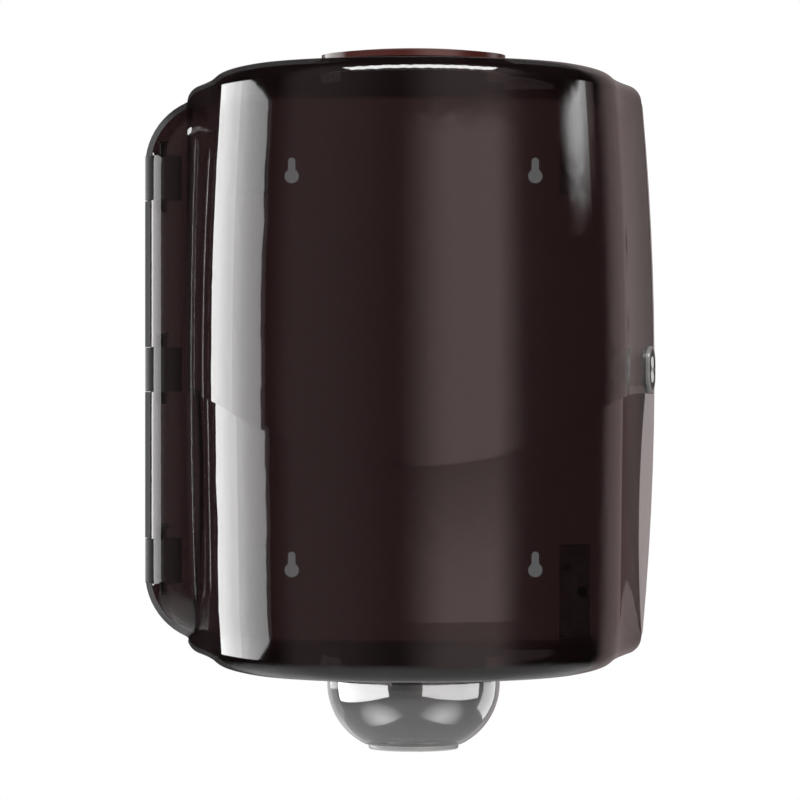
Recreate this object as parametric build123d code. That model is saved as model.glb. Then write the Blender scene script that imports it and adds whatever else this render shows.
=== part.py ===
"""Wall-mounted centrefeed paper towel dispenser: a swinging smoke cover on a red back plate.

Millimetres. The wall is the plane y = 0, the front faces -Y and +Z is up, so a depth is a distance
from the wall along -Y. Every piece is made about the casing's middle height and lifted as it is
written, which puts the origin at the middle of the four keyholes on the wall.
"""
import os
from math import asin, atan, cos, degrees, hypot, radians, sin, tan

from build123d import *

# Casing form in plan: a drafted skirt at the rear, a long side arc, then one round front
CASE_HALF_HEIGHT = 189.0
CASE_LIFT = 2.4            # casing's middle above the middle of the keyhole pattern
BREAK_HALF = 136.0         # half width where the skirt runs into the side arc
BREAK_DEPTH = 133.0
SIDE_DRAFT = 6.0           # degrees
SIDE_R = 300.0
FRONT_TURN = 66.0          # degrees off straight ahead where the side arc meets the front arc
FLARE_END = 1.0            # how far the skirt flares at the rear edge, at the top and bottom
FLARE_LOCK = 10.0          # the same on the lock side at middle height
END_PINCH = 7.0            # how much closer to the middle the sides are at the top and the bottom
EDGE_R = 12.0              # rounding of the top and bottom edges
WALL = 3.0
COVER_REAR = 8.0           # depth of the cover's rear edge

# Smile crease, and the scooped lower panel under it
SMILE_MID_Z = -55.5
SMILE_R = 235.0
SMILE_BEND = 118.0         # half width of the smile's arc, from where it levels out to the sides
SMILE_DROP = 0.5           # from the lock's frame down to the crease's ends
PANEL_STEP = 2.0           # how far the lower panel lies inside the upper one
SCOOP = 5.5                # extra inset of the lower panel's rear edges
SCOOP_Z = -95.0
PANEL_SPREAD = 3.0         # the panel's form passes outside the casing at the bottom by this

# Hinge wing on the left
WING_OUT = 41.6            # past the skirt's break
WING_STEP = 8.4            # from the casing's ends back to the wing's
WING_CORNER_R = 46.0
WING_EDGE_R = 26.0
WING_DRAFT = 15.0          # lean of the wing's sides, in degrees
WING_REAR = 16.0
WING_FRONT = 56.0
VALLEY_R = 5.0             # hollow rounding between the wing and the casing

# Round mouths in the cover's top and bottom
MOUTH_R = 60.0
LIP_WIDTH = 3.5
LIP_HEIGHT = 4.5
NOZZLE_DEPTH = 150.0       # of the nozzle's axis, which is also the roll's

# Hinge
HINGE_DEPTH = 24.0
HINGE_INSET = 12.6         # of the hinge's axis from the wing's left edge
KNUCKLE_R = 12.0           # fills the wing's notches almost to its outline
KNUCKLE_HEIGHT = 29.0
STEM_WIDTH = 16.4          # of the block behind the knuckle
KNUCKLE_INSET = 54.6       # from the wing's ends to the middles of the upper and the lower block
PIN_R = 2.5
PIN_HEAD_R = 3.6
PIN_HEAD_HEIGHT = 1.6
LUG_R = 7.4
LUG_HEIGHT = 8.0
NOTCH_DEPTH = 41.0         # how far forward the wing is notched round each block

# Back plate
PLATE = 3.0
RIM_WIDTH = 3.0
PLATE_SETBACK = 3.0        # from the casing's top and bottom, and from the wing's outline
PLATE_CORNER_R = 14.0
RIB_X = 46.5
RIB_WIDTH = 3.0
RIB_HEIGHT = 6.0
RIB_INSET = 18.0           # from the plate's ends to the ribs' ends
KEYHOLE_SPACING_X = 162.0
KEYHOLE_SPACING_Z = 262.0
KEYHOLE_R = 4.8
KEYHOLE_NECK = 5.0         # width of the slot over the round hole
KEYHOLE_RISE = 9.8         # from the hole's centre to the centre of the slot's round end

# Shelves, their brackets and the screws
SHELF = 3.0
SHELF_R = 88.0
SHELF_REAR_DEPTH = 50.0    # the shelf keeps its full width to this depth
SHELF_MARGIN = 1.0         # past the brackets on each side
BRACKET_INSET = 29.0       # from the skirt's break in to the brackets' middles
BRACKET_WIDTH = 20.0
BRACKET_HEIGHT = 64.0
BRACKET_REACH = 40.0
BRACKET_FOOT = 4.0
BRACKET_WEB = 4.0
BRACKET_HOLLOW = 0.36      # how far along the foot and the rise the web's hollow edge lies
BRACKET_SCREW = 28.0       # of the shelf's screw, out from the back plate
SCREW_R = 1.9
SCREW_HEAD_R = 3.6
SCREW_HEAD = 1.6
SCREW_GRIP = 3.2           # thread in the piece behind the one it clamps
SCREW_PITCH = 16.0         # between the two screws of a block or a bracket

# Nozzle and dome
NECK_R = 46.0
NECK_WALL = 3.0
FLANGE_R = 57.0
FLANGE = 4.0
NECK_SCREWS = 3
LUG_COUNT = 3
LUG_REACH = 3.2
LUG_THICK = 2.6
LUG_ARC = 20.0             # degrees of the neck that one bayonet lug covers
TWIST = 40.0               # degrees from locked to released
BOWL_R = 54.5
BOWL_ARC_R = 42.5
BOWL_RIM = 3.4
BOWL_DROP = 38.0
BOWL_WALL = 2.5
OUTLET_R = 20.0
TEAR_R = 28.4
TEAR_HEIGHT = 3.4
TEAR_BORE_R = 15.0
TEAR_TEETH = 12
TOOTH_HALF = 2.6
TOOTH_DEPTH = 2.2
DOME_R = 58.0
DOME_RIM = 3.6
DOME_RISE = 3.8
DOME_WALL = 2.5

# Lock in the cover's right side
LOCK_DEPTH = 22.0          # of the lock's axis where it leaves the cover
FRAME_LENGTH = 31.0
FRAME_WIDTH = 22.0
FRAME_PROUD = 2.4
FRAME_SUNK = 1.0
FRAME_EDGE_R = 1.0
BARREL_R = 9.6
BARREL_LENGTH = 17.0
HEAD_R = 9.2
HEAD_DEPTH = 2.0
PLUG_R = 6.5
FIGURE_R = 4.3             # the two rounds of the figure-of-eight key face
FIGURE_PITCH = 9.0
FIGURE_PROUD = 0.5
KEY_HOLE_R = 1.2
NUT_SIZE = 22.0
NUT_LENGTH = 11.0
WASHER = 1.0
WASHER_R = 8.6
CAM = 2.5
CAM_HUB_R = 6.4
CAM_WIDTH = 7.0
CAM_LENGTH = 13.0
TANG = 6.0
CAM_SCREW_HEAD_R = 3.8
CAM_SCREW_HEAD = 1.5
CAM_SCREW_R = 1.6
CAM_SCREW_LENGTH = 9.0

# Strike moulded on the back plate
STRIKE_WALL = 3.6
STRIKE_LIP = 4.0
STRIKE_TOP = 16.0          # above and below the lock's axis
STRIKE_CLEAR = 7.0         # half of the gap that the cam's hub passes through

# Fits
RUNNING = 0.05             # radial, between pieces that turn in each other
SEAT = 0.02                # radial, between pieces that are pressed or screwed together
SLIP = 0.3                 # between pieces that pass each other
SWING = 1.1                # between the cover's lips and what stands over them
PASS = 1.5                 # between the lock's cam and the strike

wing_left = -(BREAK_HALF + WING_OUT)
wing_half_height = CASE_HALF_HEIGHT - WING_STEP
hinge_x = wing_left + HINGE_INSET
hinge = (hinge_x, -HINGE_DEPTH)
outer_block = wing_half_height - KNUCKLE_INSET
block_heights = {"top": outer_block, "middle": 0.0, "bottom": -outer_block}
rib_half_length = CASE_HALF_HEIGHT - PLATE_SETBACK - RIB_INSET
shelf_outer = CASE_HALF_HEIGHT - 2 * WALL
shelf_inner = shelf_outer - SHELF
bracket_x = BREAK_HALF - BRACKET_INSET
shelf_half = bracket_x + BRACKET_WIDTH / 2 + SHELF_MARGIN
lip_end = CASE_HALF_HEIGHT + LIP_HEIGHT
bowl_top = lip_end + SWING
smile_end = -FRAME_LENGTH / 2 - SMILE_DROP
lock_run = BREAK_DEPTH - LOCK_DEPTH
skirt_length = BREAK_DEPTH - COVER_REAR
lock_x = (BREAK_HALF + lock_run * tan(radians(SIDE_DRAFT))
          + FLARE_LOCK * (lock_run / skirt_length) ** 2)
lock_lean = atan(tan(radians(SIDE_DRAFT)) + 2 * FLARE_LOCK * lock_run / skirt_length ** 2)
lock_out = Vector(cos(lock_lean), -sin(lock_lean), 0)
lock_plane = Plane(origin=(lock_x, -LOCK_DEPTH, 0), x_dir=(0, 0, 1), z_dir=lock_out)


def block(x_span, depth_span, z_span):
    """Box between two limits on each axis."""
    sizes = [abs(span[1] - span[0]) for span in (x_span, depth_span, z_span)]
    middles = [(span[0] + span[1]) / 2 for span in (x_span, depth_span, z_span)]
    return Pos(middles[0], -middles[1], middles[2]) * Box(*sizes)


def upright(radius, x, depth, z_span):
    """Upright cylinder between two heights."""
    height = abs(z_span[1] - z_span[0])
    return Pos(x, -depth, (z_span[0] + z_span[1]) / 2) * Cylinder(radius, height)


def ahead(radius, x, z, depth_span):
    """Cylinder that runs straight out from the wall between two depths."""
    length = abs(depth_span[1] - depth_span[0])
    middle = (depth_span[0] + depth_span[1]) / 2
    return Pos(x, -middle, z) * Rot(90, 0, 0) * Cylinder(radius, length)


def plan_face(z, inset, left_flare, right_flare, rear):
    """Plan section of the casing at one height, drawn inside the outer form by the inset."""
    skirt_turn = radians(90 - SIDE_DRAFT)
    front_turn = radians(FRONT_TURN)
    pinch = END_PINCH * (z / CASE_HALF_HEIGHT) ** 2
    side_x = BREAK_HALF - pinch - SIDE_R * sin(skirt_turn)
    side_depth = BREAK_DEPTH - SIDE_R * cos(skirt_turn)
    front_r = (side_x + SIDE_R * sin(front_turn)) / sin(front_turn)
    front_depth = side_depth + (SIDE_R - front_r) * cos(front_turn)

    def on_side(turn):
        reach = SIDE_R - inset
        return side_x + reach * sin(turn), -(side_depth + reach * cos(turn))

    def mirrored(point):
        return -point[0], point[1]

    start = on_side(skirt_turn)
    middle = on_side((skirt_turn + front_turn) / 2)
    end = on_side(front_turn)
    nose = (0, -(front_depth + front_r - inset))
    run = -start[1] - rear
    share = (run / (BREAK_DEPTH - COVER_REAR)) ** 2
    skirt_x = start[0] + run * tan(radians(SIDE_DRAFT))
    right_rear = (skirt_x + (right_flare + pinch) * share, -rear)
    left_rear = (-skirt_x - (left_flare + pinch) * share, -rear)
    lean = (sin(radians(SIDE_DRAFT)), cos(radians(SIDE_DRAFT)))
    outline = [
        TangentArc(start, right_rear, tangent=lean),
        ThreePointArc(start, middle, end),
        ThreePointArc(end, nose, mirrored(end)),
        ThreePointArc(mirrored(start), mirrored(middle), mirrored(end)),
        TangentArc(mirrored(start), left_rear, tangent=mirrored(lean)),
        Line(left_rear, right_rear),
    ]
    return Pos(0, 0, z) * make_face(outline)


def casing_body(inset, rear):
    """The bulged casing without its recessed lower panel, drawn in by the inset on every side."""
    half = CASE_HALF_HEIGHT - inset
    body = loft([
        plan_face(-half, inset, FLARE_END, FLARE_END, rear),
        plan_face(0, inset, FLARE_END, FLARE_LOCK, rear),
        plan_face(half, inset, FLARE_END, FLARE_END, rear),
    ])
    by_height = body.faces().sort_by(Axis.Z)
    rims = by_height[0].edges() + by_height[-1].edges()
    return fillet([edge for edge in rims if edge.center().Y < -rear - EDGE_R], EDGE_R - inset)


def panel_recess(inset, rear):
    """What the recessed lower panel takes off the casing: all that lies outside it, under the smile."""
    panel_end = -CASE_HALF_HEIGHT - EDGE_R - WALL
    panel_inset = inset + PANEL_STEP
    scooped = FLARE_LOCK - PANEL_STEP - SCOOP
    panel = loft([
        plan_face(panel_end, inset - PANEL_SPREAD, FLARE_END, FLARE_END, rear),
        plan_face(SCOOP_Z, panel_inset, FLARE_END - SCOOP, scooped, rear),
        plan_face(-smile_end, panel_inset, FLARE_END, FLARE_LOCK, rear),
    ])
    return below_smile(inset) - panel


def below_smile(rise):
    """Everything under the smile crease: an arc that levels out at the sides, run back to the wall."""
    bend_turn = asin(SMILE_BEND / SMILE_R)
    bend = (SMILE_BEND, SMILE_MID_Z + SMILE_R * (1 - cos(bend_turn)))
    left_bend = (-bend[0], bend[1])
    level = (lock_x, smile_end)
    left_level = (-lock_x, smile_end)
    half = BREAK_HALF + WING_OUT + EDGE_R
    floor = -CASE_HALF_HEIGHT - 4 * EDGE_R
    outline = [
        ThreePointArc(left_bend, (0, SMILE_MID_Z), bend),
        TangentArc(bend, level, tangent=(cos(bend_turn), sin(bend_turn))),
        TangentArc(left_bend, left_level, tangent=(-cos(bend_turn), sin(bend_turn))),
        Polyline(level, (half, smile_end), (half, floor), (-half, floor), (-half, smile_end), left_level),
    ]
    length = BREAK_DEPTH + SIDE_R
    return Pos(0, 0, rise) * extrude(Plane.XZ * make_face(outline), length)


def wing_form(inset, rear):
    """Flat wing beside the casing, with round corners and a rolled front edge."""
    drawn_in = inset - (WING_REAR - rear) * tan(radians(WING_DRAFT))
    width = WING_OUT + BREAK_HALF / 2 - drawn_in
    height = 2 * (wing_half_height - drawn_in)
    corner_r = WING_CORNER_R - drawn_in
    outline = Pos(wing_left + drawn_in + width / 2, 0) * RectangleRounded(width, height, corner_r)
    wing = Pos(0, -rear, 0) * extrude(Plane.XZ * outline, WING_FRONT - inset - rear, taper=WING_DRAFT)
    front = wing.faces().sort_by(Axis.Y)[0]
    return fillet(front.edges(), WING_EDGE_R - inset)


def mouth():
    """Round mouth, open to the rear along the path that the neck takes as the cover swings."""
    swing_r = hypot(MOUTH_R - hinge_x, NOZZLE_DEPTH - HINGE_DEPTH)
    rear_x = hinge_x + swing_r
    half_turn = asin((NOZZLE_DEPTH - HINGE_DEPTH) / swing_r) / 2
    midway = (hinge_x + swing_r * cos(half_turn), -HINGE_DEPTH - swing_r * sin(half_turn))
    outline = [
        ThreePointArc((-MOUTH_R, -NOZZLE_DEPTH), (0, -NOZZLE_DEPTH - MOUTH_R), (MOUTH_R, -NOZZLE_DEPTH)),
        ThreePointArc((MOUTH_R, -NOZZLE_DEPTH), midway, (rear_x, -HINGE_DEPTH)),
        Polyline((rear_x, -HINGE_DEPTH), (rear_x, 0), (-MOUTH_R, 0), (-MOUTH_R, -NOZZLE_DEPTH)),
    ]
    return make_face(outline)


def lips():
    """Half-round raised lips in front of the mouths, one on the top and one on the bottom."""
    outer_r = MOUTH_R + LIP_WIDTH
    ring = Pos(0, -NOZZLE_DEPTH) * (Circle(outer_r) - Circle(MOUTH_R))
    front = Pos(0, -NOZZLE_DEPTH - outer_r / 2) * Rectangle(2 * outer_r, outer_r)
    lip = extrude(ring & front, LIP_HEIGHT + WALL)
    lip = fillet(lip.faces().sort_by(Axis.Z)[-1].edges(), LIP_WIDTH / 4)
    upper = Pos(0, 0, CASE_HALF_HEIGHT - WALL) * lip
    return upper, mirror(upper, Plane.XY)


def lug_pair(z):
    """Two lugs that hang the cover on one pin, above and below its block."""
    lugs = []
    inside_skin = wing_form(WALL / 2, 0)
    for side in (-1, 1):
        near = z + side * (KNUCKLE_HEIGHT / 2 + SLIP)
        span = (near, near + side * LUG_HEIGHT)
        bar_span = (hinge_x - LUG_R, hinge_x + LUG_R)
        bar = block(bar_span, (HINGE_DEPTH, WING_FRONT), span)
        lugs.append((upright(LUG_R, hinge_x, HINGE_DEPTH, span) + bar) & inside_skin)
    return lugs


def on_lock(shape):
    """Place a shape drawn about the lock: its Z points out of the cover and its X points up."""
    return lock_plane.location * shape


def lock_round(radius, low, high):
    """Cylinder on the lock's axis between two distances out from the cover's face."""
    return Pos(0, 0, (low + high) / 2) * Cylinder(radius, high - low)


def front_cover():
    """One-piece shell: bulged casing, smile crease, hinge wing, mouths, lugs and lock seat."""
    body = casing_body(0, COVER_REAR)
    wing = wing_form(0, WING_REAR)
    shell = body + wing
    shell = fillet([edge for edge in shell.edges() if is_valley(edge)], VALLEY_R)
    shell -= (panel_recess(0, COVER_REAR) & body) - wing
    inner_rear = COVER_REAR - WALL
    shell -= casing_body(WALL, inner_rear) - panel_recess(WALL, inner_rear)
    shell -= wing_form(WALL, WING_REAR - WALL)
    for lip in lips():
        shell += lip
    opening = extrude(mouth(), CASE_HALF_HEIGHT * 2, both=True)
    inside = Pos(0, -NOZZLE_DEPTH, 0) * Box(4 * BREAK_HALF, 4 * NOZZLE_DEPTH, 2 * (shelf_inner - EDGE_R))
    shell -= opening - inside
    for z in block_heights.values():
        notch_span = (z - KNUCKLE_HEIGHT / 2 - SLIP, z + KNUCKLE_HEIGHT / 2 + SLIP)
        shell -= block((wing_left - WALL, hinge_x - LUG_R / 2), (0, NOTCH_DEPTH), notch_span)
        for lug in lug_pair(z):
            shell += lug
        reach = KNUCKLE_HEIGHT / 2 + SLIP + LUG_HEIGHT
        shell -= upright(PIN_R + SEAT, hinge_x, HINGE_DEPTH, (z - reach, z + reach))
    seat = extrude(SlotOverall(FRAME_LENGTH + 2 * SEAT, FRAME_WIDTH + 2 * SEAT), FRAME_PROUD + FRAME_SUNK)
    shell -= on_lock(Pos(0, 0, -FRAME_SUNK) * seat)
    shell -= on_lock(lock_round(BARREL_R + SEAT, -BARREL_LENGTH, FRAME_PROUD))
    return shell


def is_valley(edge):
    """True for the edges where the wing runs into the casing's left side."""
    middle = edge.center()
    beside = wing_left + WING_EDGE_R < middle.X < -BREAK_HALF
    return beside and WING_REAR < -middle.Y < WING_FRONT + WALL


def plate_outline():
    """Back plate's outline: the casing's own rear edge, with the wing's round corners on the left."""
    half = CASE_HALF_HEIGHT - PLATE_SETBACK
    skirt_x = BREAK_HALF + BREAK_DEPTH * tan(radians(SIDE_DRAFT)) + FLARE_END
    bulge = FLARE_LOCK - FLARE_END
    body = make_face([
        ThreePointArc((skirt_x, -half), (skirt_x + bulge, 0), (skirt_x, half)),
        Polyline((skirt_x, half), (-skirt_x, half), (-skirt_x, -half), (skirt_x, -half)),
    ])
    body = fillet(body.vertices(), PLATE_CORNER_R)
    width = WING_OUT + BREAK_HALF / 2
    height = 2 * (wing_half_height - PLATE_SETBACK)
    left = wing_left + PLATE_SETBACK
    return body + Pos(left + width / 2, 0) * RectangleRounded(width, height, WING_CORNER_R - PLATE_SETBACK)


def keyholes():
    """Four keyholes: a round hole with a narrow slot that runs up from it."""
    cutters = []
    for x in (-KEYHOLE_SPACING_X / 2, KEYHOLE_SPACING_X / 2):
        for rise in (-KEYHOLE_SPACING_Z / 2, KEYHOLE_SPACING_Z / 2):
            slot = Pos(0, KEYHOLE_RISE / 2) * Rectangle(KEYHOLE_NECK, KEYHOLE_RISE)
            top = Pos(0, KEYHOLE_RISE) * Circle(KEYHOLE_NECK / 2)
            hole = Pos(x, rise - CASE_LIFT) * (Circle(KEYHOLE_R) + slot + top)
            cutters.append(extrude(Plane.XZ * hole, PLATE))
    return cutters


def strike():
    """Two moulded posts whose lips stand in front of the cam when it is turned up."""
    cam_inner = lock_plane.origin - lock_out * (BARREL_LENGTH + WASHER + CAM + SLIP + CAM_SCREW_HEAD)
    post_x = cam_inner.X - CAM_HUB_R * sin(lock_lean) - PASS
    cam_middle = lock_plane.origin - lock_out * (BARREL_LENGTH + WASHER + CAM / 2 + SLIP)
    lip_depth = -cam_middle.Y + (CAM_WIDTH / 2 + PASS) * cos(lock_lean)
    barrel_end = lock_plane.origin - lock_out * (BARREL_LENGTH + PASS / 2)
    lip_x = barrel_end.X - (lip_depth + STRIKE_LIP + barrel_end.Y) * tan(lock_lean)
    posts = []
    for side in (-1, 1):
        z_span = (side * STRIKE_CLEAR, side * STRIKE_TOP)
        posts.append(block((post_x - STRIKE_WALL, post_x), (PLATE, lip_depth + STRIKE_LIP), z_span))
        posts.append(block((post_x - STRIKE_WALL, lip_x), (lip_depth, lip_depth + STRIKE_LIP), z_span))
    return posts


def screw_places():
    """Where screws come through the back plate, for the hinge blocks and for the brackets."""
    blocks = [(hinge_x, z + side * SCREW_PITCH / 2) for z in block_heights.values() for side in (-1, 1)]
    brackets = []
    for x in (-bracket_x, bracket_x):
        for side in (-1, 1):
            middle = shelf_inner - BRACKET_HEIGHT + SCREW_PITCH
            brackets.append((x - BRACKET_WIDTH / 4, side * middle))
            brackets.append((x + BRACKET_WIDTH / 4, side * (middle + SCREW_PITCH)))
    return blocks, brackets


def rear_screw(x, z):
    """Screw from the wall side, with its head let into the back plate."""
    head = ahead(SCREW_HEAD_R, x, z, (0, SCREW_HEAD))
    return head + ahead(SCREW_R, x, z, (SCREW_HEAD, PLATE + SCREW_GRIP))


def rear_screw_room(x, z):
    """The hole that a screw from the wall side needs."""
    head = ahead(SCREW_HEAD_R + SEAT, x, z, (0, SCREW_HEAD))
    return head + ahead(SCREW_R + SEAT, x, z, (0, PLATE + SCREW_GRIP))


def back_plate():
    """Plate on the wall with a rim, two upright ribs, the keyholes and the strike."""
    outline = plate_outline()
    plate = extrude(Plane.XZ * outline, COVER_REAR - SLIP)
    floor = offset(outline, -RIM_WIDTH)
    plate -= Pos(0, -PLATE, 0) * extrude(Plane.XZ * floor, COVER_REAR)
    for x in (-RIB_X, RIB_X):
        span = (x - RIB_WIDTH / 2, x + RIB_WIDTH / 2)
        plate += block(span, (PLATE, PLATE + RIB_HEIGHT), (-rib_half_length, rib_half_length))
    for z in block_heights.values():
        gap = (z - KNUCKLE_HEIGHT / 2 - SLIP, z + KNUCKLE_HEIGHT / 2 + SLIP)
        plate -= block((wing_left, hinge_x + KNUCKLE_R + SLIP), (PLATE, COVER_REAR), gap)
    for post in strike():
        plate += post
    for cutter in keyholes():
        plate -= cutter
    for places in screw_places():
        for place in places:
            plate -= rear_screw_room(*place)
    return plate


def hinge_block(z):
    """Knuckle that stands on the back plate and carries one hinge pin."""
    span = (z - KNUCKLE_HEIGHT / 2, z + KNUCKLE_HEIGHT / 2)
    stem = block((hinge_x - STEM_WIDTH / 2, hinge_x + STEM_WIDTH / 2), (PLATE, HINGE_DEPTH), span)
    knuckle = stem + upright(KNUCKLE_R, hinge_x, HINGE_DEPTH, span)
    knuckle -= upright(PIN_R + RUNNING, hinge_x, HINGE_DEPTH, span)
    for side in (-1, 1):
        knuckle -= rear_screw_room(hinge_x, z + side * SCREW_PITCH / 2)
    return knuckle


def hinge_pin(z):
    """Steel pin with a flat head that rests on the upper lug."""
    reach = KNUCKLE_HEIGHT / 2 + SLIP + LUG_HEIGHT
    shank = upright(PIN_R, hinge_x, HINGE_DEPTH, (z - reach, z + reach))
    return shank + upright(PIN_HEAD_R, hinge_x, HINGE_DEPTH, (z + reach, z + reach + PIN_HEAD_HEIGHT))


def shelf_outline():
    """Round platform about the roll's axis, run back to the wall at the brackets' width."""
    rear = Pos(0, -(PLATE + SHELF_REAR_DEPTH) / 2) * Rectangle(2 * shelf_half, SHELF_REAR_DEPTH - PLATE)
    platform = Pos(0, -NOZZLE_DEPTH) * Circle(SHELF_R)
    return make_hull(rear.edges() + platform.edges())


def shelf_screw_places():
    """Where screws come through a shelf, into the brackets and into the neck's flange."""
    places = [(x, PLATE + BRACKET_SCREW) for x in (-bracket_x, bracket_x)]
    ring_r = (NECK_R + FLANGE_R) / 2
    for number in range(NECK_SCREWS):
        turn = radians(90 + 360 * number / NECK_SCREWS)
        places.append((ring_r * cos(turn), NOZZLE_DEPTH + ring_r * sin(turn)))
    return places


def shelf_screw(x, depth):
    """Screw from under the lower shelf, with its head let into it."""
    head = upright(SCREW_HEAD_R, x, depth, (-shelf_outer, -shelf_outer + SCREW_HEAD))
    shank_span = (-shelf_outer + SCREW_HEAD, -shelf_inner + SCREW_GRIP)
    return head + upright(SCREW_R, x, depth, shank_span)


def shelf_screw_room(x, depth):
    """The hole that a screw from under the lower shelf needs."""
    head = upright(SCREW_HEAD_R + SEAT, x, depth, (-shelf_outer, -shelf_outer + SCREW_HEAD))
    return head + upright(SCREW_R + SEAT, x, depth, (-shelf_outer, -shelf_inner + SCREW_GRIP))


def roll_shelf():
    """Floor that the roll stands on, with the hole for the nozzle's neck."""
    shelf = Pos(0, 0, -shelf_outer) * extrude(shelf_outline(), SHELF)
    shelf -= upright(NECK_R + SEAT, 0, NOZZLE_DEPTH, (-shelf_outer, -shelf_inner))
    for place in shelf_screw_places():
        shelf -= shelf_screw_room(*place)
    return shelf


def lower_bracket(x):
    """Angle with a curved web, between the back plate and the lower shelf."""
    span = (x - BRACKET_WIDTH / 2, x + BRACKET_WIDTH / 2)
    foot_z = -shelf_inner
    rise = block(span, (PLATE, PLATE + BRACKET_FOOT), (foot_z, foot_z + BRACKET_HEIGHT))
    foot = block(span, (PLATE, PLATE + BRACKET_REACH), (foot_z, foot_z + BRACKET_FOOT))
    corner = (-PLATE, foot_z)
    top = (-PLATE, foot_z + BRACKET_HEIGHT)
    tip = (-PLATE - BRACKET_REACH, foot_z)
    hollow = (-PLATE - BRACKET_REACH * BRACKET_HOLLOW, foot_z + BRACKET_HEIGHT * BRACKET_HOLLOW)
    web_face = make_face([Polyline(tip, corner, top), ThreePointArc(top, hollow, tip)])
    web = Pos(x - BRACKET_WEB / 2, 0, 0) * extrude(Plane.YZ * web_face, BRACKET_WEB)
    bracket = rise + foot + web
    _, bracket_screws = screw_places()
    for place in bracket_screws:
        bracket -= rear_screw_room(*place)
    for place in shelf_screw_places():
        bracket -= shelf_screw_room(*place)
    return bracket


def neck_tube(end):
    """Neck through the lower shelf, with its flange on top of the shelf."""
    span = (-end, -shelf_inner + FLANGE)
    tube = upright(NECK_R, 0, NOZZLE_DEPTH, span)
    tube += upright(FLANGE_R, 0, NOZZLE_DEPTH, (-shelf_inner, -shelf_inner + FLANGE))
    tube -= upright(NECK_R - NECK_WALL, 0, NOZZLE_DEPTH, span)
    for place in shelf_screw_places():
        tube -= shelf_screw_room(*place)
    return tube


def ring_arcs(inner_r, outer_r, arc, start, z_span):
    """Equal arcs of a flat ring about the nozzle's axis, one for each bayonet lug."""
    ring = upright(outer_r, 0, NOZZLE_DEPTH, z_span) - upright(inner_r, 0, NOZZLE_DEPTH, z_span)
    half = outer_r * tan(radians(arc / 2))
    wedge_face = make_face(Polyline((0, 0), (outer_r, -half), (outer_r, half), (0, 0)))
    wedge = extrude(wedge_face, abs(z_span[1] - z_span[0]))
    pieces = []
    for number in range(LUG_COUNT):
        turned = Rot(0, 0, start + 360 * number / LUG_COUNT) * wedge
        pieces.append(ring & (Pos(0, -NOZZLE_DEPTH, min(z_span)) * turned))
    return pieces


lug_top = bowl_top + BOWL_WALL + SLIP
lug_bottom = lug_top + LUG_THICK


def nozzle_neck():
    """Ring that the bowl hangs on, with the bayonet lugs under the bowl's inner flange."""
    neck = neck_tube(lug_bottom)
    for lug in ring_arcs(NECK_R - NECK_WALL / 2, NECK_R + LUG_REACH, LUG_ARC, 0, (-lug_bottom, -lug_top)):
        neck += lug
    return neck


def nozzle_bowl():
    """Round bowl, open at the outlet, with notches that let it off the bayonet when it is twisted."""
    arc_x = BOWL_R - BOWL_ARC_R
    arc_z = -bowl_top - BOWL_RIM
    floor = arc_z - BOWL_DROP
    inner_floor = floor + BOWL_WALL
    inner_r = BOWL_ARC_R - BOWL_WALL
    hang_r = NECK_R + RUNNING

    def on_arc(radius, turn):
        return arc_x + radius * cos(turn), arc_z - radius * sin(turn)

    outer_turn = asin(BOWL_DROP / BOWL_ARC_R)
    inner_turn = asin((BOWL_DROP - BOWL_WALL) / inner_r)
    outer_end = on_arc(BOWL_ARC_R, outer_turn)
    inner_end = on_arc(inner_r, inner_turn)
    profile = [
        Polyline((hang_r, -bowl_top), (BOWL_R, -bowl_top), (BOWL_R, arc_z)),
        ThreePointArc((BOWL_R, arc_z), on_arc(BOWL_ARC_R, outer_turn / 2), outer_end),
        Polyline(outer_end, (OUTLET_R, floor), (OUTLET_R, inner_floor), inner_end),
        ThreePointArc(inner_end, on_arc(inner_r, inner_turn / 2), (arc_x + inner_r, arc_z)),
        Polyline((arc_x + inner_r, arc_z), (arc_x + inner_r, -bowl_top - BOWL_WALL),
                 (hang_r, -bowl_top - BOWL_WALL), (hang_r, -bowl_top)),
    ]
    bowl = revolve(Plane.XZ * make_face(profile), Axis.Z)
    bowl = Pos(0, -NOZZLE_DEPTH, 0) * bowl
    rim = bowl.edges().filter_by(GeomType.CIRCLE).filter_by(lambda edge: edge.radius == BOWL_R)
    bowl = fillet(rim.sort_by(Axis.Z)[-1], BOWL_WALL / 2)
    notch_r = NECK_R + LUG_REACH + SLIP
    notch_arc = LUG_ARC + degrees(2 * SLIP / NECK_R) * 2
    for notch in ring_arcs(NECK_R, notch_r, notch_arc, -TWIST, (-bowl_top - BOWL_WALL, -bowl_top)):
        bowl -= notch
    return bowl


def tear_ring():
    """Ring in the bowl's outlet with V-shaped teeth round its bore, which tear the paper."""
    floor = -bowl_top - BOWL_RIM - BOWL_DROP
    ring = upright(TEAR_R, 0, NOZZLE_DEPTH, (floor - TEAR_HEIGHT, floor))
    ring = fillet(ring.edges().sort_by(Axis.Z)[0], TEAR_HEIGHT / 3)
    ring += upright(OUTLET_R - SEAT, 0, NOZZLE_DEPTH, (floor, floor + BOWL_WALL))
    ring -= upright(TEAR_BORE_R, 0, NOZZLE_DEPTH, (floor - TEAR_HEIGHT, floor + BOWL_WALL))
    tooth = make_face(Polyline((0, -TOOTH_HALF), (TOOTH_DEPTH, 0), (0, TOOTH_HALF), (0, -TOOTH_HALF)))
    base = TEAR_BORE_R * cos(asin(TOOTH_HALF / TEAR_BORE_R))
    cut = extrude(Pos(base, 0) * tooth, TEAR_HEIGHT + BOWL_WALL)
    for number in range(TEAR_TEETH):
        ring -= Pos(0, -NOZZLE_DEPTH, floor - TEAR_HEIGHT) * Rot(0, 0, 360 * number / TEAR_TEETH) * cut
    return ring


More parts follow.
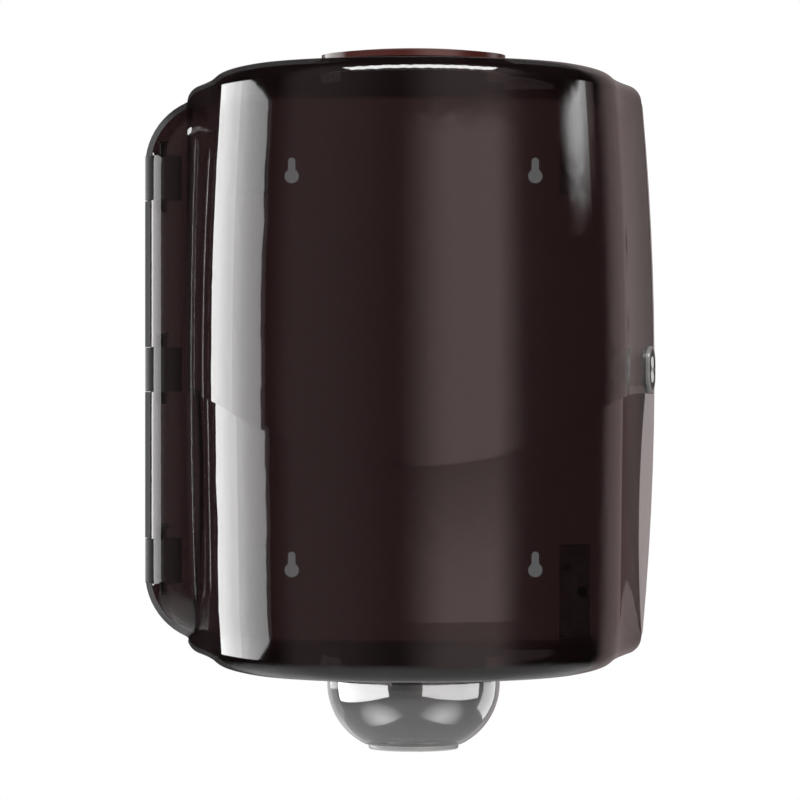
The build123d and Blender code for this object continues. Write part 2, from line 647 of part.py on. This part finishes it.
def top_dome():
    """Red cap over the top mouth, on the same neck and flange as the nozzle's."""
    neck = mirror(neck_tube(bowl_top), Plane.XY)
    rim_top = bowl_top + DOME_RIM
    sphere_r = (DOME_R ** 2 + DOME_RISE ** 2) / (2 * DOME_RISE)
    inner_r = DOME_R - DOME_WALL
    chord_turn = asin(DOME_R / sphere_r) / 2
    crown = (sphere_r * sin(chord_turn), rim_top + DOME_RISE - sphere_r * (1 - cos(chord_turn)))
    profile = [
        Polyline((0, rim_top + DOME_RISE), (0, rim_top), (inner_r, rim_top - DOME_WALL / 2)),
        Polyline((inner_r, rim_top - DOME_WALL / 2), (inner_r, bowl_top)),
        Polyline((inner_r, bowl_top), (DOME_R, bowl_top), (DOME_R, rim_top)),
        ThreePointArc((DOME_R, rim_top), crown, (0, rim_top + DOME_RISE)),
    ]
    cap = Pos(0, -NOZZLE_DEPTH, 0) * revolve(Plane.XZ * make_face(profile), Axis.Z)
    joint_span = (bowl_top, rim_top)
    web = upright(NECK_R, 0, NOZZLE_DEPTH, joint_span)
    web -= upright(NECK_R - NECK_WALL, 0, NOZZLE_DEPTH, joint_span)
    return neck + cap + web


def lock_case():
    """Oval frame sunk in the cover's side, in one with the barrel behind it."""
    oval = SlotOverall(FRAME_LENGTH, FRAME_WIDTH)
    frame = Pos(0, 0, -FRAME_SUNK) * extrude(oval, FRAME_PROUD + FRAME_SUNK)
    frame = fillet(frame.faces().sort_by(Axis.Z)[-1].edges(), FRAME_EDGE_R)
    case = frame + lock_round(BARREL_R, -BARREL_LENGTH, -FRAME_SUNK)
    case -= lock_round(PLUG_R + RUNNING, -BARREL_LENGTH, FRAME_PROUD)
    case -= lock_round(HEAD_R + RUNNING, FRAME_PROUD - HEAD_DEPTH - RUNNING, FRAME_PROUD)
    return on_lock(case)


def lock_nut():
    """Square nut that clamps the lock from inside the cover."""
    start = -WALL - SLIP
    body = Pos(0, 0, start - NUT_LENGTH / 2) * Box(NUT_SIZE, NUT_SIZE, NUT_LENGTH)
    body = chamfer(body.edges().filter_by(Axis.Z), NUT_SIZE / 10)
    return on_lock(body - lock_round(BARREL_R + SEAT, start - NUT_LENGTH, start))


def lock_plug():
    """Turning plug with a raised figure-of-eight face for the two-pin key, and a square tang."""
    plug_end = -BARREL_LENGTH - SLIP - WASHER
    head_base = FRAME_PROUD - HEAD_DEPTH
    head_face = FRAME_PROUD - FIGURE_PROUD
    plug = lock_round(PLUG_R, plug_end, head_base) + lock_round(HEAD_R, head_base, head_face)
    face = Circle(KEY_HOLE_R)
    figure = Sketch() + [Pos(side * FIGURE_PITCH / 2, 0) * Circle(FIGURE_R) for side in (-1, 1)]
    bridge = Rectangle(FIGURE_PITCH, FIGURE_R)
    raised = extrude((figure + bridge) - face, FIGURE_PROUD)
    plug += Pos(0, 0, head_face) * raised
    plug -= lock_round(KEY_HOLE_R, head_face - HEAD_DEPTH, FRAME_PROUD)
    plug += Pos(0, 0, plug_end - CAM / 2) * Box(TANG, TANG, CAM)
    plug -= lock_round(CAM_SCREW_R + SEAT, plug_end - CAM, plug_end - CAM + CAM_SCREW_LENGTH)
    return on_lock(plug)


def lock_washer():
    """Flat spring washer between the barrel and the cam."""
    span = (-BARREL_LENGTH - SLIP - WASHER, -BARREL_LENGTH - SLIP)
    return on_lock(lock_round(WASHER_R, *span) - lock_round(PLUG_R + SEAT, *span))


def lock_cam():
    """Tongue that stands towards the wall when unlocked and turns up behind the strike."""
    start = -BARREL_LENGTH - SLIP - WASHER
    outline = Circle(CAM_HUB_R) + Pos(0, -CAM_LENGTH / 2) * Rectangle(CAM_WIDTH, CAM_LENGTH)
    outline -= Rectangle(TANG + 2 * SEAT, TANG + 2 * SEAT)
    return on_lock(Pos(0, 0, start - CAM) * extrude(outline, CAM))


def cam_screw():
    """Screw that holds the cam on the plug's tang."""
    end = -BARREL_LENGTH - SLIP - WASHER - CAM
    head = lock_round(CAM_SCREW_HEAD_R, end - CAM_SCREW_HEAD, end)
    return on_lock(head + lock_round(CAM_SCREW_R, end, end + CAM_SCREW_LENGTH))


def upper(shape):
    """The same piece at the top of the casing."""
    return mirror(shape, Plane.XY)


lower_left = lower_bracket(-bracket_x)
lower_right = lower_bracket(bracket_x)
shelf = roll_shelf()
lower_screws = [shelf_screw(*place) for place in shelf_screw_places()]
hinge_places, bracket_places = screw_places()

nodes = {
    "back_plate": back_plate(),
    "roll_shelf": shelf,
    "top_shelf": upper(shelf),
    "top_dome": top_dome(),
    "nozzle_neck": nozzle_neck(),
    "lower_left_bracket": lower_left,
    "lower_right_bracket": lower_right,
    "upper_left_bracket": upper(lower_left),
    "upper_right_bracket": upper(lower_right),
    "hinge_screws": Compound([rear_screw(*place) for place in hinge_places]),
    "bracket_screws": Compound([rear_screw(*place) for place in bracket_places]),
    "shelf_screws": Compound(lower_screws + [upper(screw) for screw in lower_screws]),
    "front_cover": front_cover(),
    "lock_case": lock_case(),
    "lock_nut": lock_nut(),
    "lock_plug": lock_plug(),
    "lock_washer": lock_washer(),
    "lock_cam": lock_cam(),
    "cam_screw": cam_screw(),
    "nozzle_bowl": nozzle_bowl(),
    "tear_ring": tear_ring(),
}
for name, height in block_heights.items():
    nodes["hinge_block_" + name] = hinge_block(height)
    nodes["hinge_pin_" + name] = hinge_pin(height)

os.makedirs("parts", exist_ok=True)
for name, solid in nodes.items():
    export_step(Pos(0, 0, CASE_LIFT) * solid, f"parts/{name}.step")

print("hinge", [round(value, 3) for value in hinge])
print("lock", [round(value, 3) for value in lock_plane.origin], [round(value, 5) for value in lock_out])
print("bowl", round(bowl_top, 3), "outlet", round(bowl_top + BOWL_RIM + BOWL_DROP + TEAR_HEIGHT, 3))
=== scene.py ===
import math
from types import SimpleNamespace

import bpy
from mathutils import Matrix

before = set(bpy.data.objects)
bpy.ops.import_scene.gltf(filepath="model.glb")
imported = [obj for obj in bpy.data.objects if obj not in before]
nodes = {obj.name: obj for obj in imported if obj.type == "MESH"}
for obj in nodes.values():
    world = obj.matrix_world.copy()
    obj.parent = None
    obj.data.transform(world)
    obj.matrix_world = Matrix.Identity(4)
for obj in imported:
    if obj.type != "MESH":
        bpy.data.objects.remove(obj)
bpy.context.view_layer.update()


# Back plate. One red, half-clear moulding that hangs on four wall screws and carries all the rest.
# Light from the wall shines through it, so it glows dark red behind the smoke cover. Its rim on the lock's
# side is painted paler and clearer, a painted highlight for the shine along that edge.
def feed(tree, socket, value):
    """Gives a socket its value: a node's output is linked, a colour gets its alpha, a number is set."""
    if isinstance(value, bpy.types.NodeSocket):
        tree.links.new(value, socket)
    elif socket.type == "RGBA":
        socket.default_value = (*value, 1.0)
    else:
        socket.default_value = value


def ramp(tree, value, low, high, first, last, shape="LINEAR"):
    """Goes from first to last as value goes from low to high, and stays there beyond them."""
    node = tree.nodes.new("ShaderNodeMapRange")
    node.interpolation_type = shape
    sockets = ("Value", "From Min", "From Max", "To Min", "To Max")
    for socket, number in zip(sockets, (value, low, high, first, last)):
        feed(tree, node.inputs[socket], number)
    return node.outputs["Result"]


def mixed(tree, factor, first, second):
    """The colour first where factor is 0, and second where it is 1."""
    node = tree.nodes.new("ShaderNodeMix")
    node.data_type = "RGBA"
    for socket, value in (("Factor", factor), ("A", first), ("B", second)):
        feed(tree, node.inputs[socket], value)
    return node.outputs["Result"]


def apart(tree, vector):
    """The X, Y and Z of a vector."""
    node = tree.nodes.new("ShaderNodeSeparateXYZ")
    tree.links.new(vector, node.inputs["Vector"])
    return tuple(node.outputs)


def noise(tree, place, scale, detail):
    """A noise of that scale and detail over the piece."""
    node = tree.nodes.new("ShaderNodeTexNoise")
    for socket, value in (("Vector", place), ("Scale", scale), ("Detail", detail)):
        feed(tree, node.inputs[socket], value)
    return node.outputs["Fac"]


def plastic(name, colour, shade, flow, roughness, grain, **sockets):
    """Moulded plastic or plated metal: colour drifts to shade on a slow noise of scale flow, and roughness
    runs between its two values on a fine noise of scale grain. Other sockets are set by their names."""
    material = bpy.data.materials.new(name)
    material.use_nodes = True
    tree = material.node_tree
    shader = tree.nodes["Principled BSDF"]
    place = tree.nodes.new("ShaderNodeTexCoord").outputs["Object"]
    own_colour = mixed(tree, noise(tree, place, flow, detail=3.0), colour, shade)
    fine = noise(tree, place, grain, detail=2.0)
    feed(tree, shader.inputs["Base Color"], own_colour)
    feed(tree, shader.inputs["Roughness"], ramp(tree, fine, 0.0, 1.0, *roughness))
    for socket, value in sockets.items():
        shader.inputs[socket.replace("_", " ")].default_value = value
    return SimpleNamespace(material=material, tree=tree, shader=shader, place=place, colour=own_colour,
                           grain=fine)


def skin(stuff, height, strength=0.4):
    """Lifts the grain into a fine moulded skin of that height in metres."""
    bump = stuff.tree.nodes.new("ShaderNodeBump")
    for socket, value in (("Strength", strength), ("Distance", height), ("Height", stuff.grain)):
        feed(stuff.tree, bump.inputs[socket], value)
    stuff.tree.links.new(bump.outputs["Normal"], stuff.shader.inputs["Normal"])
    return stuff


def see_through(stuff, tint, share):
    """Lets that share of the light straight through, coloured by tint, and leaves the rest to the plastic."""
    tree = stuff.tree
    clear = tree.nodes.new("ShaderNodeBsdfTransparent")
    feed(tree, clear.inputs["Color"], tint)
    mix = tree.nodes.new("ShaderNodeMixShader")
    feed(tree, mix.inputs["Fac"], share)
    tree.links.new(stuff.shader.outputs["BSDF"], mix.inputs[1])
    tree.links.new(clear.outputs["BSDF"], mix.inputs[2])
    tree.links.new(mix.outputs["Shader"], tree.nodes["Material Output"].inputs["Surface"])
    return stuff


def dress(stuff, *names):
    """Puts one material on the CAD pieces of those names."""
    for name in names:
        mesh = nodes[name].data
        mesh.materials.clear()
        mesh.materials.append(stuff.material)


plate = plastic("red_plate", colour=(0.06, 0.013, 0.011), shade=(0.044, 0.009, 0.008), flow=18.0,
                roughness=(0.3, 0.42), grain=900.0)
skin(plate, height=0.00006)
plate_tint, plate_share = (0.73, 0.5, 0.52), 0.5
# painted highlight: only the rim on the lock's side is made paler and lets more white through
rim_highlight_tint, rim_highlight_share = (0.8, 0.76, 0.76), 0.66
rim_highlight_start, rim_highlight_end = 0.139, 0.145
rim_highlight_mask = ramp(plate.tree, apart(plate.tree, plate.place)[0], rim_highlight_start, rim_highlight_end, 0.0, 1.0)
see_through(plate, tint=mixed(plate.tree, rim_highlight_mask, plate_tint, rim_highlight_tint),
            share=ramp(plate.tree, rim_highlight_mask, 0.0, 1.0, plate_share, rim_highlight_share))
dress(plate, "back_plate")

# Hinge blocks. Three dark, opaque knuckles moulded in glass-filled nylon, which takes the shine off them.
# Each is held by two screws from behind the plate and carries a pin for the cover's lugs.
nylon = plastic("dark_nylon", colour=(0.016, 0.0145, 0.0145), shade=(0.024, 0.022, 0.021), flow=40.0,
                roughness=(0.42, 0.55), grain=1400.0, Specular_IOR_Level=0.15)
skin(nylon, height=0.00008)
dress(nylon, "hinge_block_top", "hinge_block_middle", "hinge_block_bottom")

# Pins, screws and the lock's cam. Turned and stamped steel with a zinc plating that is a little cloudy.
# The pins are pressed into the lugs, and the screws hold the blocks, the brackets, the shelves and the cam.
steel = plastic("zinc_steel", colour=(0.62, 0.61, 0.59), shade=(0.5, 0.49, 0.48), flow=120.0,
                roughness=(0.24, 0.36), grain=2600.0, Metallic=1.0)
skin(steel, height=0.00002)
dress(steel, "hinge_pin_top", "hinge_pin_middle", "hinge_pin_bottom", "hinge_screws", "bracket_screws",
      "shelf_screws", "cam_screw", "lock_washer", "lock_cam")

# Brackets. Four grey corner angles, moulded in a half-clear plastic, each held by two screws from behind the
# plate. Each carries a shelf on its foot, with one more screw.
bracket = plastic("grey_bracket", colour=(0.42, 0.41, 0.4), shade=(0.34, 0.335, 0.33), flow=30.0,
                  roughness=(0.34, 0.46), grain=1200.0)
skin(bracket, height=0.00007)
see_through(bracket, tint=(0.7, 0.66, 0.65), share=0.64)
dress(bracket, "lower_left_bracket", "lower_right_bracket", "upper_left_bracket", "upper_right_bracket")

# Shelves. Two thin, dark and mostly clear mouldings, screwed to the brackets' feet.
# The roll stands on the lower one, and the upper one carries the dome.
shelf = plastic("shelf_plastic", colour=(0.05, 0.03, 0.03), shade=(0.035, 0.022, 0.022), flow=25.0,
                roughness=(0.3, 0.42), grain=1100.0)
skin(shelf, height=0.00007)
see_through(shelf, tint=(0.78, 0.64, 0.65), share=0.78)
dress(shelf, "roll_shelf", "top_shelf")

# Top dome. A shallow cap moulded in the plate's red, smoother than the plate. Its neck goes through the upper
# shelf and is held by a flange and screws, and its top shows over the cover's lip.
dome = plastic("red_dome", colour=(0.075, 0.016, 0.012), shade=(0.055, 0.012, 0.009), flow=18.0,
               roughness=(0.16, 0.26), grain=900.0)
skin(dome, height=0.00003)
dress(dome, "top_dome")

# Nozzle neck. A grey moulded tube through the lower shelf, with a flange that three screws hold from below.
# Three lugs round its foot carry the bowl.
neck = plastic("neck_grey", colour=(0.16, 0.158, 0.155), shade=(0.12, 0.118, 0.116), flow=35.0,
               roughness=(0.26, 0.36), grain=1200.0)
skin(neck, height=0.00004)
dress(neck, "nozzle_neck")

# Nozzle bowl. A grey, half-clear and very glossy moulding that twists off the neck's lugs.
# A paler ring with teeth that tear the paper is pressed into its foot.
bowl = plastic("bowl_grey", colour=(0.2, 0.198, 0.198), shade=(0.17, 0.168, 0.168), flow=20.0,
               roughness=(0.04, 0.08), grain=700.0, IOR=1.6)
see_through(bowl, tint=(0.82, 0.81, 0.81), share=0.45)
dress(bowl, "nozzle_bowl")
ring = plastic("ring_pale", colour=(0.62, 0.615, 0.61), shade=(0.55, 0.545, 0.54), flow=30.0,
               roughness=(0.2, 0.3), grain=1000.0)
skin(ring, height=0.00004)
dress(ring, "tear_ring")


# Lock. A grey moulded frame with a black face, and a plug that the key turns: its figure of eight stands
# proud and is bright, and the rest of it is black. A grey square nut clamps the lock from inside the cover.
def figure(tree, kind, first, *others):
    """Works out kind on the values from left to right, each a number or a node's output."""
    for other in others or (0.0,):
        node = tree.nodes.new("ShaderNodeMath")
        node.operation = kind
        feed(tree, node.inputs[0], first)
        feed(tree, node.inputs[1], other)
        first = node.outputs["Value"]
    return first


lock_place = (0.155552, -0.022, 0.0024)
lock_axis = (0.970783, -0.239961)
lock_turn = math.atan2(lock_axis[1], lock_axis[0])
lock_black = (0.006, 0.006, 0.006)


def lock_axes(stuff, depth, half_width=1.0, half_height=1.0):
    """A piece's coordinates from the lock's place: out along its axis, across and up, each divided by the
    length given for it."""
    turned = stuff.tree.nodes.new("ShaderNodeMapping")
    turned.vector_type = "TEXTURE"
    turned.inputs["Location"].default_value = lock_place
    turned.inputs["Rotation"].default_value = (0.0, 0.0, lock_turn)
    turned.inputs["Scale"].default_value = (depth, half_width, half_height)
    stuff.tree.links.new(stuff.place, turned.inputs["Vector"])
    return apart(stuff.tree, turned.outputs["Vector"])


def blacken(stuff, where):
    """Makes the plastic black where the mask is 1."""
    feed(stuff.tree, stuff.shader.inputs["Base Color"],
         mixed(stuff.tree, where, stuff.colour, lock_black))


case = plastic("lock_frame", colour=(0.3, 0.298, 0.295), shade=(0.2, 0.198, 0.195), flow=700.0,
               roughness=(0.24, 0.34), grain=1600.0)
skin(case, height=0.00003)
face_level, face_half_width, face_half_height = 0.0017, 0.0092, 0.0134
outward, across, along = lock_axes(case, face_level, face_half_width, face_half_height)
oval = figure(case.tree, "ADD", figure(case.tree, "MULTIPLY", across, across),
              figure(case.tree, "MULTIPLY", along, along))
blacken(case, figure(case.tree, "MULTIPLY", figure(case.tree, "GREATER_THAN", outward, 1.0),
                     figure(case.tree, "LESS_THAN", oval, 1.0)))
dress(case, "lock_case")

plug = plastic("lock_face", colour=(0.93, 0.93, 0.92), shade=(0.86, 0.86, 0.85), flow=200.0,
               roughness=(0.3, 0.4), grain=3000.0)
skin(plug, height=0.00001)
figure_level = 0.0022
blacken(plug, figure(plug.tree, "LESS_THAN", lock_axes(plug, figure_level)[0], 1.0))
dress(plug, "lock_plug")

nut = plastic("nut_grey", colour=(0.34, 0.34, 0.31), shade=(0.28, 0.28, 0.26), flow=50.0,
              roughness=(0.36, 0.46), grain=1300.0)
skin(nut, height=0.00005)
dress(nut, "lock_nut")


# Front cover. One smoke-tinted, high-gloss moulding that swings on the three pins in its lugs. Under its
# smile crease the shading leans down a little, most of all next to the crease. The rounded ends, which are
# seen at a slant, let less light through.
def ease(tree, value, low, high, first, last):
    """A ramp that starts and ends softly."""
    return ramp(tree, value, low, high, first, last, shape="SMOOTHSTEP")


smoke = plastic("smoke_cover", colour=(0.0045, 0.0025, 0.0025), shade=(0.006, 0.0034, 0.0034), flow=9.0,
                roughness=(0.025, 0.04), grain=500.0)
aside, _, height = apart(smoke.tree, smoke.place)

smile_middle, smile_radius, smile_side = -0.0555, 0.235, 0.115
lean, lean_reach = -0.05, 0.09
arc = figure(smoke.tree, "SUBTRACT", smile_radius ** 2, figure(smoke.tree, "MULTIPLY", aside, aside))
crease = figure(smoke.tree, "SUBTRACT", smile_middle + smile_radius, figure(smoke.tree, "SQRT", arc))
below = figure(smoke.tree, "SUBTRACT", crease, height)
fading = figure(smoke.tree, "SUBTRACT", 1.0, figure(smoke.tree, "DIVIDE", below, lean_reach))
leaning = figure(smoke.tree, "MULTIPLY", figure(smoke.tree, "MAXIMUM", fading, 0.0),
                 figure(smoke.tree, "GREATER_THAN", below, 0.0),
                 figure(smoke.tree, "LESS_THAN", figure(smoke.tree, "ABSOLUTE", aside), smile_side), lean)
downward = smoke.tree.nodes.new("ShaderNodeCombineXYZ")
smoke.tree.links.new(leaning, downward.inputs["Z"])
facing = smoke.tree.nodes.new("ShaderNodeVectorMath")
geometry = smoke.tree.nodes.new("ShaderNodeNewGeometry")
smoke.tree.links.new(geometry.outputs["Normal"], facing.inputs[0])
smoke.tree.links.new(downward.outputs["Vector"], facing.inputs[1])
leant = smoke.tree.nodes.new("ShaderNodeVectorMath")
leant.operation = "NORMALIZE"
smoke.tree.links.new(facing.outputs["Vector"], leant.inputs[0])
smoke.tree.links.new(leant.outputs["Vector"], smoke.shader.inputs["Normal"])

casing_middle = 0.0024
end_start, end_full = 0.160, 0.172
wall_alpha, end_alpha = 0.7, 0.83
from_middle = figure(smoke.tree, "ABSOLUTE", figure(smoke.tree, "SUBTRACT", height, casing_middle))
feed(smoke.tree, smoke.shader.inputs["Alpha"],
     ease(smoke.tree, from_middle, end_start, end_full, wall_alpha, end_alpha))
dress(smoke, "front_cover")


# Lamps. A long strip overhead in front is only mirrored, and a broader lamp in the same place gives the plain
# light. A panel behind on the left is mirrored in the hinge's side of the cover. Six soft boxes are mirrored
# in the bowl alone.
def lamp(name, azimuth, elevation, distance, target, size, radiance, seen):
    """A rectangular lamp of that width and height in metres, which faces target from an azimuth, counted
    from the camera's side towards +X, and an elevation. It is radiance times as bright as white where it is
    mirrored."""
    turn, rise = math.radians(azimuth), math.radians(elevation)
    light = bpy.data.lights.new(name, "AREA")
    light.shape = "RECTANGLE"
    light.size, light.size_y = size
    light.energy = radiance * math.pi * size[0] * size[1]
    stand = bpy.data.objects.new(name, light)
    reach = distance * math.cos(rise)
    stand.location = (target[0] + reach * math.sin(turn), target[1] - reach * math.cos(turn),
                      target[2] + distance * math.sin(rise))
    stand.rotation_euler = (math.pi / 2 - rise, 0.0, turn)
    bpy.context.scene.collection.objects.link(stand)
    stand.visible_camera = False
    stand.visible_glossy = "glossy" in seen
    stand.visible_diffuse = "diffuse" in seen
    stand.visible_transmission = "transmission" in seen
    return stand


roll_axis_depth = -0.15
middle = (0.0, roll_axis_depth, 0.0)
lamp("key_strip", azimuth=6, elevation=56, distance=2.0, target=middle, size=(2.9, 0.6), radiance=24.0,
     seen=("glossy",))
lamp("overhead", azimuth=0, elevation=55, distance=2.0, target=middle, size=(2.6, 1.2), radiance=5.9,
     seen=("diffuse", "transmission"))
lamp("left_panel", azimuth=-121.5, elevation=0, distance=1.4, target=middle, size=(1.3, 0.7), radiance=4.2,
     seen=("glossy", "diffuse", "transmission"))

bowl_middle = (0.0, roll_axis_depth, -0.215)
box_distance = 0.8
bowl_only = bpy.data.collections.new("bowl_only")
bowl_only.objects.link(nodes["nozzle_bowl"])
for side, azimuth, elevation, size, radiance, spread in (
        ("left", -76, -7, (1.45, 0.4), 22.0, None),
        ("right", 54, -7, (1.45, 0.37), 15.0, None),
        ("far_left", -145, -5, (0.7, 0.6), 1.2, None),
        ("far_right", 122, -9, (0.5, 0.5), 6.0, None),
        ("low_left", -62, -52, (0.95, 0.95), 8.5, 58),
        ("low_right", 54, -50, (0.95, 0.95), 7.5, 58)):
    box = lamp("bowl_box_" + side, azimuth, elevation, box_distance, bowl_middle, size, radiance,
               seen=("glossy",))
    box.light_linking.receiver_collection = bowl_only
    if spread:  # a round one with a soft edge, and with the light taken back that a narrow spread adds
        half_spread = math.radians(spread / 2)
        box.data.shape = "ELLIPSE"
        box.data.spread = 2 * half_spread
        box.data.energy *= 1.0 - half_spread / math.tan(half_spread)

# Floor. A pale sheet of studio paper under the part, which fades out before its edge, so that no corner of it
# is mirrored in the cover.
floor_level, floor_half = -0.9, 3.0
fade_start, fade_end = 0.9, 2.85
corners = ((-1, -1), (1, -1), (1, 1), (-1, 1))
floor_mesh = bpy.data.meshes.new("floor")
floor_mesh.from_pydata([(floor_half * x, floor_half * y, floor_level) for x, y in corners], [],
                       [(0, 1, 2, 3)])
floor = bpy.data.objects.new("floor", floor_mesh)
bpy.context.scene.collection.objects.link(floor)
paper = plastic("floor_paper", colour=(0.88, 0.88, 0.88), shade=(0.86, 0.86, 0.86), flow=6.0,
                roughness=(0.7, 0.8), grain=300.0)
off_middle = paper.tree.nodes.new("ShaderNodeVectorMath")
off_middle.operation = "DISTANCE"
off_middle.inputs[1].default_value = (0.0, 0.0, floor_level)
paper.tree.links.new(paper.place, off_middle.inputs[0])
see_through(paper, tint=(1.0, 1.0, 1.0),
            share=ease(paper.tree, off_middle.outputs["Value"], fade_start, fade_end, 0.0, 1.0))
floor_mesh.materials.append(paper.material)

# Room. White to the camera and through clear walls, and an even grey light on the part.
# The gloss sees dim, faintly rosy walls, with the bright places that the next lines give, each by how far a
# direction goes to the right, to the back and up.
world = bpy.data.worlds.new("white_room")
bpy.context.scene.world = world
world.use_nodes = True
room = world.node_tree
rays = room.nodes.new("ShaderNodeLightPath").outputs
right, back, up = apart(room, room.nodes.new("ShaderNodeTexCoord").outputs["Generated"])


def opens(value, low, high, first=0.0):
    """Brightens softly from that first share to all as value goes from low to high."""
    return ease(room, value, low, high, first, 1.0)


def closes(value, low, high, last=0.0):
    """Dims softly from all to that last share as value goes from low to high."""
    return ease(room, value, low, high, 1.0, last)


# in front on the right, a broad soft stretch that is weaker low down and high up
front_right_white, low_share, high_share = 2.0, 0.5, 0.35
front_right = figure(room, "MULTIPLY", front_right_white, opens(right, -0.2, 0.42), closes(right, 0.74, 0.97),
                     closes(back, -0.3, -0.1), opens(up, -0.14, -0.05, low_share),
                     closes(up, 0.122, 0.142, high_share))
# in front on the left, a faint one that dies down towards the middle
front_left_white, front_middle_white = 0.38, 0.06
front_left = figure(room, "MULTIPLY", ease(room, right, -0.9, -0.1, front_left_white, front_middle_white),
                    closes(back, -0.3, 0.1))
# on the right and a little up, a bright patch with a leaning edge
glow_white = 4.6
glow_edge = figure(room, "ADD", back, up, up)
right_glow = figure(room, "MULTIPLY", glow_white, opens(up, 0.055, 0.11), closes(up, 0.112, 0.125),
                    opens(glow_edge, 0.38, 0.66), closes(back, 0.5, 0.78), opens(right, 0.3, 0.5))
# behind, a pale wall that is nearly dark on the left
rear_white, rear_left_share = 0.26, 0.05
rear = figure(room, "MULTIPLY", rear_white, opens(back, 0.77, 0.88),
              opens(right, -0.15, 0.1, rear_left_share))
mirrored = figure(room, "ADD", front_right, front_left, right_glow, rear)

white, ambient = 1.0, 0.45
strength = ramp(room, rays["Is Glossy Ray"], 0.0, 1.0, ambient, mirrored)
strength = ramp(room, rays["Is Transmission Ray"], 0.0, 1.0, strength, white)
strength = ramp(room, rays["Is Camera Ray"], 0.0, 1.0, strength, white)
rosy = figure(room, "MULTIPLY", rays["Is Glossy Ray"], ease(room, right_glow, 0.0, 1.0, 1.0, 0.0))
background = room.nodes["Background"]
feed(room, background.inputs["Strength"], strength)
wall_white, wall_rosy = (1.0, 1.0, 1.0), (1.0, 0.8, 0.78)
feed(room, background.inputs["Color"], mixed(room, rosy, wall_white, wall_rosy))

# Camera. Straight in front at the casing's mid-height, three metres from the wall. Its focal length and the
# shifts of its frame are in pixels of the picture.
camera_distance = 3.0
picture, focal = 800.0, 4509.0
shift_right, shift_up = -13.5, -30.5
camera_data = bpy.data.cameras.new("camera")
camera_data.sensor_width = 36.0
camera_data.lens = camera_data.sensor_width * focal / picture
camera_data.shift_x = shift_right / picture
camera_data.shift_y = shift_up / picture
camera = bpy.data.objects.new("camera", camera_data)
camera.location = (0.0, -camera_distance, casing_middle)
camera.rotation_euler = (math.pi / 2, 0.0, 0.0)
bpy.context.scene.collection.objects.link(camera)
bpy.context.scene.camera = camera
bpy.context.scene.view_settings.view_transform = "Standard"
